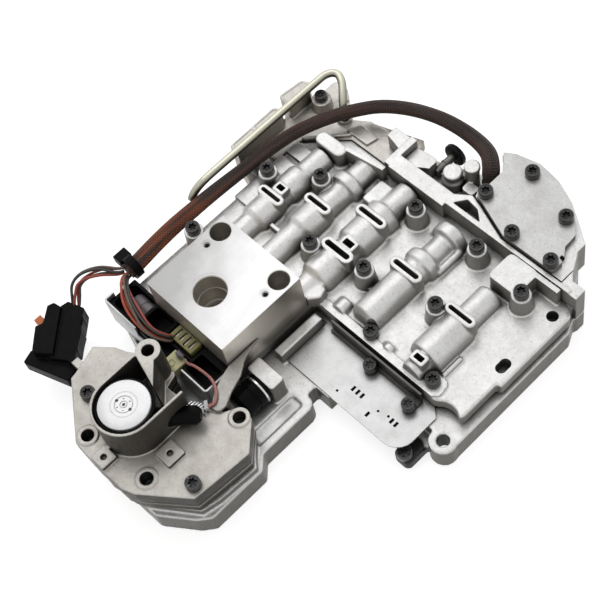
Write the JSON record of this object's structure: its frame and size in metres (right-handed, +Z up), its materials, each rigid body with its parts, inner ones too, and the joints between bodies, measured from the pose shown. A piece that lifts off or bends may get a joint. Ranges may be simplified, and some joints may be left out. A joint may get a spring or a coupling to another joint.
{
  "type": "transmission valve body",
  "caption": "Valve body of an automatic transmission: stacked aluminium castings with valve bores, suction block, solenoid and wiring harness.",
  "frame": {"origin": "on the lower housing's rest face, under the middle of the stack", "axes": "+Z up out of the rest face, Y along the valve bores, X across them"},
  "size_m": [0.269, 0.3438, 0.075],
  "materials": {
    "cast_aluminium": "as cast, fine blasted skin",
    "cast_aluminium_warm": "as cast, stained beige-grey",
    "machined_aluminium": "milled",
    "steel_sheet": "bright plated",
    "dark_screw_steel": "dark phosphated",
    "bright_steel": "ground",
    "black_plastic": "moulded",
    "black_rubber": "moulded",
    "white_plastic": "moulded",
    "cream_plastic": "moulded",
    "orange_plastic": "moulded",
    "brown_braid": "braided sleeve",
    "wire_insulation": "insulated wires in a bunch",
    "pink_insulation": "wire insulation"
  },
  "bodies": {
    "housing": {"lower_housing": "cast_aluminium", "upper_housing": "cast_aluminium", "bridge_casting": "cast_aluminium", "rear_housing": "cast_aluminium", "rear_cover": "cast_aluminium", "ledge_strip": "cast_aluminium_warm", "side_casting": "cast_aluminium_warm", "accumulator_body": "cast_aluminium_warm", "accumulator_cover": "cast_aluminium_warm", "suction_block": "machined_aluminium", "separator_plate": "steel_sheet", "steel_tray": "steel_sheet", "steel_tube": "steel_sheet", "deck_screw_1": "dark_screw_steel", "deck_screw_2": "dark_screw_steel", "deck_screw_3": "dark_screw_steel", "deck_screw_4": "dark_screw_steel", "deck_screw_5": "dark_screw_steel", "deck_screw_6": "dark_screw_steel", "deck_screw_7": "dark_screw_steel", "deck_screw_8": "dark_screw_steel", "deck_screw_9": "dark_screw_steel", "flange_screw_1": "dark_screw_steel", "flange_screw_2": "dark_screw_steel", "cover_screw_1": "dark_screw_steel", "cover_screw_2": "dark_screw_steel", "cover_screw_3": "dark_screw_steel", "cover_screw_4": "dark_screw_steel", "cover_screw_5": "dark_screw_steel", "accumulator_screw_1": "dark_screw_steel", "accumulator_screw_2": "dark_screw_steel", "spring_a": "bright_steel", "spring_b": "bright_steel", "spring_c": "bright_steel", "spring_d": "bright_steel", "spring_e": "bright_steel", "bore_plug_a": "bright_steel", "bore_plug_b": "bright_steel", "bore_plug_c": "bright_steel", "bore_plug_d": "bright_steel", "bore_plug_e": "bright_steel", "solenoid_can": "black_plastic", "switch_housing": "black_plastic", "lockup_solenoid": "black_plastic", "harness_connector": "black_plastic", "harness_tie": "black_plastic", "wire_terminal": "black_plastic", "transfer_pipe": "black_rubber", "solenoid_cap": "white_plastic", "cream_connector": "cream_plastic", "harness_sleeve": "brown_braid", "connector_wires": "wire_insulation", "housing_wires": "wire_insulation", "pink_wire": "pink_insulation"},
    "spool_a": {"spool_valve_a": "bright_steel"},
    "spool_b": {"spool_valve_b": "bright_steel"},
    "spool_c": {"spool_valve_c": "bright_steel"},
    "spool_d": {"spool_valve_d": "bright_steel"},
    "spool_e": {"spool_valve_e": "bright_steel"},
    "lock": {"connector_lock": "orange_plastic"}
  },
  "joints": [
    {"name": "spool_a_slide", "type": "slide", "parent": "housing", "child": "spool_a", "axis": [0, -1, 0], "range_m": [0, 0.005], "stiffness_N_per_m": 300, "springref_m": -0.003, "deforming": ["spring_a"]},
    {"name": "spool_b_slide", "type": "slide", "parent": "housing", "child": "spool_b", "axis": [0, -1, 0], "range_m": [0, 0.005], "stiffness_N_per_m": 300, "springref_m": -0.003, "deforming": ["spring_b"]},
    {"name": "spool_c_slide", "type": "slide", "parent": "housing", "child": "spool_c", "axis": [0, -1, 0], "range_m": [0, 0.005], "stiffness_N_per_m": 300, "springref_m": -0.003, "deforming": ["spring_c"]},
    {"name": "spool_d_slide", "type": "slide", "parent": "housing", "child": "spool_d", "axis": [0, -1, 0], "range_m": [0, 0.005], "stiffness_N_per_m": 300, "springref_m": -0.003, "deforming": ["spring_d"]},
    {"name": "spool_e_slide", "type": "slide", "parent": "housing", "child": "spool_e", "axis": [0, -1, 0], "range_m": [0, 0.005], "stiffness_N_per_m": 300, "springref_m": -0.003, "deforming": ["spring_e"]},
    {"name": "connector_lock_slide", "type": "slide", "parent": "housing", "child": "lock", "axis": [-1, 0, 0], "range_m": [0, 0.002]}
  ]
}
